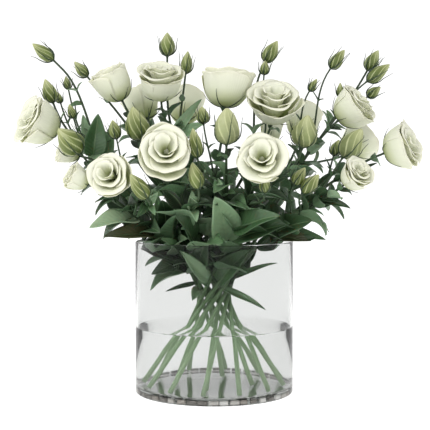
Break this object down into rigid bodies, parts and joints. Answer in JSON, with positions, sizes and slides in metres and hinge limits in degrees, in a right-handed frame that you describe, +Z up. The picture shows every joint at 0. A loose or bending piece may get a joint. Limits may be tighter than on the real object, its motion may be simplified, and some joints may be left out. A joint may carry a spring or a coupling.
{
  "type": "lisianthus in a vase",
  "caption": "Hand-tied bunch of cream lisianthus with buds and leaves, standing in a clear glass cylinder vase part filled with water.",
  "frame": {"origin": "centre of the vase's underside", "axes": "+Z up along the vase's axis, +X to the right of someone looking at the front, -Y towards that person"},
  "size_m": [0.4868, 0.2465, 0.437],
  "materials": {
    "clear_glass": "gloss",
    "water": "gloss",
    "stem_green": "satin",
    "leaf_green": "satin",
    "cream_petal": "matte",
    "olive_bud": "satin"
  },
  "bodies": {
    "root": {"bloom_far_left": "cream_petal", "bloom_far_right": "cream_petal", "bloom_front_centre": "cream_petal", "bloom_front_left": "cream_petal", "bloom_front_right": "cream_petal", "bloom_half_open_left": "cream_petal", "bloom_low_left": "cream_petal", "bloom_low_right": "cream_petal", "bloom_rear_centre": "cream_petal", "bloom_rear_far_right": "cream_petal", "bloom_rear_left": "cream_petal", "bloom_rear_right": "cream_petal", "bloom_rear_small": "cream_petal", "bloom_top_centre": "cream_petal", "bloom_top_left": "cream_petal", "bloom_top_right": "cream_petal", "bloom_upper_left": "cream_petal", "bloom_upper_right": "cream_petal", "bud_centre": "olive_bud", "bud_centre_low": "olive_bud", "bud_crown": "olive_bud", "bud_crown_right": "olive_bud", "bud_crown_tall": "olive_bud", "bud_far_left_tall": "olive_bud", "bud_front_left": "olive_bud", "bud_half_open_centre": "olive_bud", "bud_large_centre_right": "olive_bud", "bud_large_left": "olive_bud", "bud_large_right": "olive_bud", "bud_left": "olive_bud", "bud_left_tall": "olive_bud", "bud_olive_left": "olive_bud", "bud_right_tall": "olive_bud", "glass_vase": "clear_glass", "leaf_dark_left": "leaf_green", "leaf_dark_right": "leaf_green", "leaf_inside_left": "leaf_green", "leaf_inside_pale": "leaf_green", "leaf_light_centre": "leaf_green", "leaf_mid_right": "leaf_green", "leaf_pale_left": "leaf_green", "leaf_rim_left": "leaf_green", "leaf_upper_left": "leaf_green", "stem_far_left": "stem_green", "stem_far_right": "stem_green", "stem_front_centre": "stem_green", "stem_front_left": "stem_green", "stem_front_right": "stem_green", "stem_half_open_centre": "stem_green", "stem_low_left": "stem_green", "stem_low_right": "stem_green", "stem_rear_centre": "stem_green", "stem_rear_left": "stem_green", "stem_rear_right": "stem_green", "stem_top_centre": "stem_green", "stem_top_left": "stem_green", "stem_top_right": "stem_green", "stem_upper_left": "stem_green", "stem_upper_right": "stem_green", "water": "water"}
  },
  "joints": []
}
